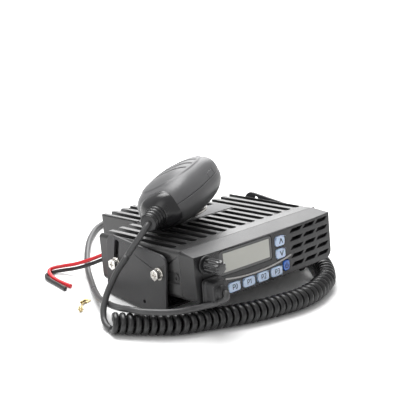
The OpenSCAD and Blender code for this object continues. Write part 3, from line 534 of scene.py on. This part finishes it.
pale_key = key_skin("pale_blue_key", (0.40, 0.50, 0.66))
deep_key = key_skin("deep_blue_key", (0.02, 0.11, 0.45))
ink = jacket("legend_ink", (0.008, 0.009, 0.014), 0.5, bump=0.02)
for key in ("key_0", "key_1", "key_2", "key_3", "key_up", "key_down"):
    softened(key, 0.0006, pale_key)
softened("key_power", 0.0005, deep_key)
finished("keypad_sheet", jacket("silicone_sheet", (0.12, 0.12, 0.13), 0.6))


stroke = 0.64


def bar(start, end, width, front):
    """A flat printed stroke on a key, from one point to another in the radio's own frame: a
    grid whose width falls to nothing at its two rounded ends."""
    start = np.array(start, float)
    end = np.array(end, float)
    ahead = (end - start) / np.linalg.norm(end - start)
    across = np.array([-ahead[1], ahead[0]])
    share = np.linspace(-1, 1, 9)
    reach = np.linalg.norm(end - start) / 2 + width / 2
    cap = np.clip((reach - np.abs(share) * reach) / (width / 2), 0, 1)
    half = width / 2 * np.sqrt(1 - (1 - cap) ** 2)
    line = (start + end) / 2 + share[:, None] * reach * ahead
    flat = line[:, None] + np.array([-1, 1])[None, :, None] * half[:, None, None] * across
    return in_radio(flat[..., 0], front, flat[..., 1])


def ring_stroke(middle, half, width, front, open_top=0.0):
    """A printed ring: an ellipse of the given half-sizes, drawn as a band of the width, with
    an opening at its top given in degrees."""
    turn = np.radians(np.linspace(90 + open_top, 450 - open_top, 33))
    band = np.array([-width / 2, width / 2])[None]
    x = middle[0] + (half[0] + band) * np.cos(turn)[:, None]
    z = middle[1] + (half[1] + band) * np.sin(turn)[:, None]
    return in_radio(x, front, z)


def legend(name, strokes, key):
    """Joins a key's strokes into one printed legend that moves with the key."""
    rows = [s.reshape(-1, 3) for s in strokes]
    mesh = bpy.data.meshes.new(name)
    quads = []
    base = 0
    for s in strokes:
        index = np.arange(s.shape[0] * 2).reshape(-1, 2) + base
        quads += np.stack([index[:-1, 0], index[1:, 0], index[1:, 1], index[:-1, 1]], -1).tolist()
        base += s.shape[0] * 2
    mesh.from_pydata(np.vstack(rows).tolist(), [], quads)
    piece = bpy.data.objects.new(name, mesh)
    bpy.context.collection.objects.link(piece)
    mesh.materials.append(ink)
    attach(piece, key)


# Each digit's strokes, as end points beside its middle and above the panel's underside, in mm.
digit_bars = (
    (),
    (((0, 3.4), (0, 7.2)), ((-0.9, 6.4), (0, 7.2))),
    (((-0.8, 7.1), (0.8, 7.1)), ((-0.8, 3.5), (0.8, 3.5)), ((0.9, 5.6), (0.9, 6.9)),
     ((-0.8, 3.6), (0.9, 5.7))),
    (((-0.8, 7.1), (0.8, 7.1)), ((-0.8, 3.5), (0.8, 3.5)), ((0.9, 5.6), (0.9, 6.9)),
     ((-0.4, 5.3), (0.7, 5.3)), ((0.9, 3.7), (0.9, 5.1))))
for number in range(4):
    key_x = -38.4 + 15.2 * number
    front = min(float(face_depth(key_x)), 0) - 0.93
    left = key_x - 0.4
    digit = left + 2.1
    strokes = [bar((left - 1.6, 3.4), (left - 1.6, 7.2), stroke, front),
               ring_stroke((left - 0.6, 6.1), (1.05, 1.15), stroke, front)]
    if number == 0:
        strokes.append(ring_stroke((digit, 5.3), (0.85, 1.9), stroke, front))
    for start, end in digit_bars[number]:
        strokes.append(bar((digit + start[0], start[1]), (digit + end[0], end[1]), stroke, front))
    legend(f"legend_p{number}", strokes, f"key_{number}")

arrow_stroke = 0.9
arrow_front = -2.36
for name, middle_z, way in (("key_up", 28.9, 1), ("key_down", 18.7, -1)):
    point = (14.0, middle_z + way * 1.9)
    strokes = [bar((side, middle_z - way * 1.9), point, arrow_stroke, arrow_front)
               for side in (12.3, 15.7)]
    legend("legend_" + name[4:], strokes, name)

power_stroke = 0.6
power_front = -2.3
legend("legend_power",
       [ring_stroke((18.6, 6.9), (1.5, 1.7), power_stroke, power_front, open_top=35),
        bar((18.6, 7.2), (18.6, 9.5), power_stroke, power_front)], "key_power")

# ---------------------------------------------------------------------------
# Volume knob: glossy black moulding with eight flutes and a domed end, pushed on its shaft.
def knob_form(middle, reach, outer_r, flutes):
    """A turned profile whose radius dips by a cosine of the angle, raised to a power so that
    the flutes are narrow scoops; they fade out at the dome and at the skirt."""
    along = np.r_[0, 0, 0.15, 0.6, 1.4, 2.4, np.linspace(3.4, reach - 1.2, 12), reach - 0.5,
                  reach - 0.1, reach]
    radius = np.r_[0, 0.55, 0.72, 0.86, 0.94, 0.98, np.ones(12), 0.97, 0.9, 0] * outer_r
    depth = np.r_[0, 0, 0.2, 0.6, 0.9, 1.0, np.ones(12), 0.6, 0.2, 0] * 1.25
    turn = np.linspace(0, 2 * pi, 192, endpoint=False)
    scoop = (0.5 + 0.5 * np.cos(flutes * turn)) ** 1.6
    r = radius[:, None] - depth[:, None] * scoop[None]
    x = middle[0] + r * np.cos(turn)
    z = middle[1] + r * np.sin(turn)
    y = -1.8 - reach + along[:, None] + 0 * turn
    return in_radio(x, y, z)


knob_skin = jacket("knob_gloss", (0.013, 0.013, 0.014), 0.2, bump=0.02)
knob_skin.node_tree.nodes["Principled BSDF"].inputs["Coat Weight"].default_value = 0.4
knob = grid_mesh("volume_knob_moulded", knob_form((-64.5, 29.8), 16, 5.8, 8), round_v=True)
outward(knob)
knob.data.materials.append(knob_skin)
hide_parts("volume_knob")
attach(knob, "knob")
finished("volume_shaft", nickel)
finished("volume_control", nickel)

# ---------------------------------------------------------------------------
# Loudspeaker, boards and sockets inside and behind the case.
cone_paper = jacket("cone_paper", (0.02, 0.02, 0.02), 0.8, bump=0.5, scale=500)
mesh_cloth = jacket("mesh_cloth", (0.012, 0.012, 0.012), 0.8, bump=0.6, scale=2500)
laminate = jacket("green_laminate", (0.02, 0.09, 0.04), 0.35)
black_plastic = jacket("black_plastic", (0.02, 0.02, 0.02), 0.4)
boot_rubber = jacket("boot_rubber", (0.018, 0.018, 0.019), 0.42, bump=0.12)
clear_moulding = jacket("clear_moulding", (0.55, 0.6, 0.62), 0.15, bump=0.02)
for node, skin in (("speaker_frame", zinc), ("speaker_cone", cone_paper),
                   ("speaker_magnet", black_steel), ("dust_mesh", mesh_cloth),
                   ("front_board", laminate), ("main_board", laminate),
                   ("power_module", black_plastic), ("shield_can", nickel),
                   ("mic_jack", black_plastic), ("mic_plug", clear_moulding)):
    finished(node, skin)
softened("antenna_socket", 0.0002, nickel)
softened("speaker_jack", 0.0002, black_plastic)
softened("power_grommet", 0.0003, pad_rubber)
softened("plug_boot", 0.0008, boot_rubber)

# ---------------------------------------------------------------------------
# Hand microphone: two grained plastic shells joined round the edge, a raised face with four
# sound slots, a soft rubber block at the lower end and a ribbed strain relief.
def turned(rx, ry, rz):
    """Turning matrix about X, then Y, then Z, in degrees."""
    cx, cy, cz = np.cos(np.radians([rx, ry, rz]))
    sx, sy, sz = np.sin(np.radians([rx, ry, rz]))
    about_x = np.array([[1, 0, 0], [0, cx, -sx], [0, sx, cx]])
    about_y = np.array([[cy, 0, sy], [0, 1, 0], [-sy, 0, cy]])
    about_z = np.array([[cz, -sz, 0], [sz, cz, 0], [0, 0, 1]])
    return about_z @ about_y @ about_x


mic_at = np.array([-13.6, 21.7, 76.5])
mic_turn = turned(5, -29.8, -66.5)
mic_half = (29, 46, 20.4, 20.2)


def in_mic(x, y, z):
    """From the microphone's own frame in mm (cap at -y, face on +z) to its place in metres."""
    points = np.stack(np.broadcast_arrays(np.asarray(x, float), y, z), -1)
    return (points @ mic_turn.T + mic_at) / 1000


def soft_step(value, edge, width):
    """0 below the edge, 1 above it, with a smooth rise over the width."""
    share = np.clip((value - edge) / width + 0.5, 0, 1)
    return share * share * (3 - 2 * share)


def mic_shell(front):
    """Half of the microphone's form. Rows run along it and columns over it from seam to seam.
    The half-width is (1 - |t|^3)^(1/2.4) and the depth (1 - |t|^2.8)^(1/2.2) of the full
    size, and each row is a superellipse. The seam's edges are drawn in to leave a fine joint."""
    rows = 400
    cols = 210
    t = 0.9995 * np.sin(np.linspace(-pi / 2, pi / 2, rows))[:, None]
    even = np.linspace(-1, 1, cols)[None]
    turn = pi / 2 * (1 + np.sign(even) * (1 - (1 - np.abs(even)) ** 1.5))
    half_w = mic_half[0] * (1 - np.abs(t) ** 3) ** (1 / 2.4)
    deep = (1 - np.abs(t) ** 2.8) ** (1 / 2.2) * (mic_half[2] if front else mic_half[3])
    x = half_w * np.sign(np.cos(turn)) * np.abs(np.cos(turn)) ** (2 / 2.7)
    z = deep * np.abs(np.sin(turn)) ** (2 / (3 if front else 2.3))
    y = mic_half[1] * t + 0 * x
    if front:
        panel = (np.abs(x / 22.8) ** 2.6 + np.abs((y - 2.5) / 34) ** 2.6) ** (1 / 2.6)
        lift = 0.7 * (1 - soft_step(panel, 1, 0.05))
        slots = 0
        for middle in (-6, 3.7, 13.4, 23.1):
            within = 1 - soft_step(np.abs(y - middle), 1.0, 0.4)
            reach = 1 - soft_step(np.abs(x), 21 - 0.01 * (middle - 5) ** 2, 0.8)
            slots = slots + within * reach
        insert = np.maximum(np.abs(y - 8.7) - 5.8, np.abs(z - 2.4) - 2.9)
        groove = np.exp(-(insert / 0.35) ** 2) * (x > 0) * (z > 0.3)
        z = z + (lift - 2.2 * slots) * (z > 6)
        x = x - 0.55 * groove
    else:
        for screw_x, screw_y in ((-11, -14), (11, -14), (-11, 20), (11, 20)):
            away = np.hypot(x - screw_x, y - screw_y)
            z = z - 2.0 * (1 - soft_step(away, 2.4, 0.4)) * (z > 8)
    x = x - 0.6 * np.sign(x) * (1 - soft_step(z, 0.35, 0.4)) * (np.abs(x) > 6)
    z = np.where(front, z + 0.06, -z - 0.06)
    middle_line = np.stack([0 * y[:, :1], y[:, :1], z[:, :1]], -1)
    form = np.concatenate([middle_line, np.stack([x, y, z], -1), middle_line], 1)
    return in_mic(form[..., 0], form[..., 1], form[..., 2])


mic_skin = jacket("mic_skin", (0.085, 0.085, 0.088), 0.4, bump=0.3, scale=1500, tint=0.06)
# The back shell is moulded in the same plastic as the face shell. Its colour here is painted
# darker: painted shade on the side turned away from the lamps.
mic_back_shaded_skin = jacket("mic_back_shaded_skin", (0.07, 0.07, 0.072), 0.42, bump=0.3, scale=1500,
                       tint=0.08)
mic_rubber = jacket("mic_rubber", (0.012, 0.012, 0.013), 0.28, bump=0.05)
for name, front, skin, node in (
        ("mic_face_shell", True, mic_skin, "mic_front_shell"),
        ("mic_back_shell", False, mic_back_shaded_skin, "mic_rear_shell")):
    shell = grid_mesh(name, mic_shell(front))
    outward(shell)
    shell.data.materials.append(skin)
    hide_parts(node)
    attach(shell, "mic")


def lofted(name, stations, power, skin, node, body, count=96, lean=(0, 0)):
    """A closed form along the microphone: rings of one superellipse, each with its own place,
    half-width and half-depth; lean bends the ring centres over as the square of the way."""
    y, across, up = np.array(stations, float).T
    way = np.clip((y[0] - y) / (y[0] - y[-1]), 0, 1)
    turn = np.linspace(0, 2 * pi, count, endpoint=False)
    power = np.broadcast_to(power, len(y))[:, None]
    x = np.sign(np.cos(turn)) * np.abs(np.cos(turn)) ** (2 / power) * across[:, None]
    z = np.sign(np.sin(turn)) * np.abs(np.sin(turn)) ** (2 / power) * up[:, None]
    x = x + lean[0] * way[:, None] ** 2
    z = z + lean[1] * way[:, None] ** 2
    form = grid_mesh(name, in_mic(x, y[:, None], z), round_v=True)
    outward(form)
    form.data.materials.append(skin)
    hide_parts(node)
    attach(form, body)
    return form


cap_run = np.linspace(0, 1, 22)
cap_fall = 1 - cap_run ** 2.2
cap_stations = [(-36, 0, 0), (-36, 17.4, 14.6), (-37, 17.6, 14.8)] + [
    (-38.5 - 11 * r, 9 + 8.5 * f, 8.8 + 5.9 * f) for r, f in zip(cap_run, cap_fall)]
cap_stations += [(-49.6, 0, 0)]
cap_power = np.r_[2.7, 2.7, 2.7, 2 + 0.7 * cap_fall, 2]
lofted("mic_rubber_block", cap_stations, cap_power, mic_rubber, "mic_end_cap", "mic")
relief_stations = [(-49, 0, 0)]
for rib, wide in enumerate((8.7, 8.3, 7.9, 7.5)):
    start = -49.2 - 3.9 * rib
    for below, drawn in ((0, 0.5), (0.25, 0), (2.4, 0.05), (2.75, 0.4), (2.9, 1.1), (3.8, 1.2)):
        relief_stations.append((start - below, wide - drawn, wide - drawn))
relief_stations += [(-64.4, 6.8, 6.8), (-64.6, 6.3, 6.3), (-64.6, 0, 0)]
lofted("mic_ribbed_relief", relief_stations, 2, mic_rubber, "mic_strain_relief", "mic")
finished("mic_side_insert", mic_skin)
softened("mic_ptt", 0.0012, mic_rubber)
softened("mic_hanger_stud", 0.0004, zinc)
for node, skin in (("mic_capsule", nickel), ("mic_board", laminate),
                   ("mic_switch", black_plastic), ("mic_screws", black_steel)):
    finished(node, skin)

# ---------------------------------------------------------------------------
# Loose crimp terminals: stamped and rolled brass, lying beside the radio.
brass = plated("stamped_brass", (0.62, 0.50, 0.26), 0.3)
softened("crimp_terminals", 0.00012, brass)

# ---------------------------------------------------------------------------
# A plain white table top under soft daylight.
floor_x, floor_y = np.meshgrid([-6.0, 6.0], [-6.0, 6.0], indexing="ij")
floor_z = np.full((2, 2), -0.0002)
table_top = grid_mesh("table_top", np.stack([floor_x, floor_y, floor_z], -1), smooth=False)
table_top.data.flip_normals()
white_top = bpy.data.materials.new("white_top")
white_top.use_nodes = True
white_shader = white_top.node_tree.nodes["Principled BSDF"]
white_shader.inputs["Base Color"].default_value = (0.93, 0.93, 0.93, 1)
white_shader.inputs["Roughness"].default_value = 0.6
table_top.data.materials.append(white_top)


def soft_box(name, where, towards, size, watts):
    """A square area light that faces a point on the table."""
    data = bpy.data.lights.new(name, "AREA")
    data.size = size
    data.energy = watts
    lamp = bpy.data.objects.new(name, data)
    lamp.location = where
    lamp.rotation_mode = "QUATERNION"
    lamp.rotation_quaternion = (Vector(towards) - Vector(where)).to_track_quat("-Z", "Y")
    bpy.context.collection.objects.link(lamp)
    return lamp


soft_box("overhead", (0.1, 0.45, 1.25), (0, 0, 0), 1.0, 26)
soft_box("left_fill", (-1.3, -0.3, 0.7), (0, 0, 0.03), 0.9, 4)
soft_box("right_back", (0.9, 0.9, 0.6), (0, 0, 0.05), 0.8, 8)
world = bpy.data.worlds.new("daylight")
bpy.context.scene.world = world
world.use_nodes = True
world.node_tree.nodes["Background"].inputs["Color"].default_value = (1, 1, 1, 1)
world.node_tree.nodes["Background"].inputs["Strength"].default_value = 0.62
bpy.context.scene.view_settings.view_transform = "Standard"
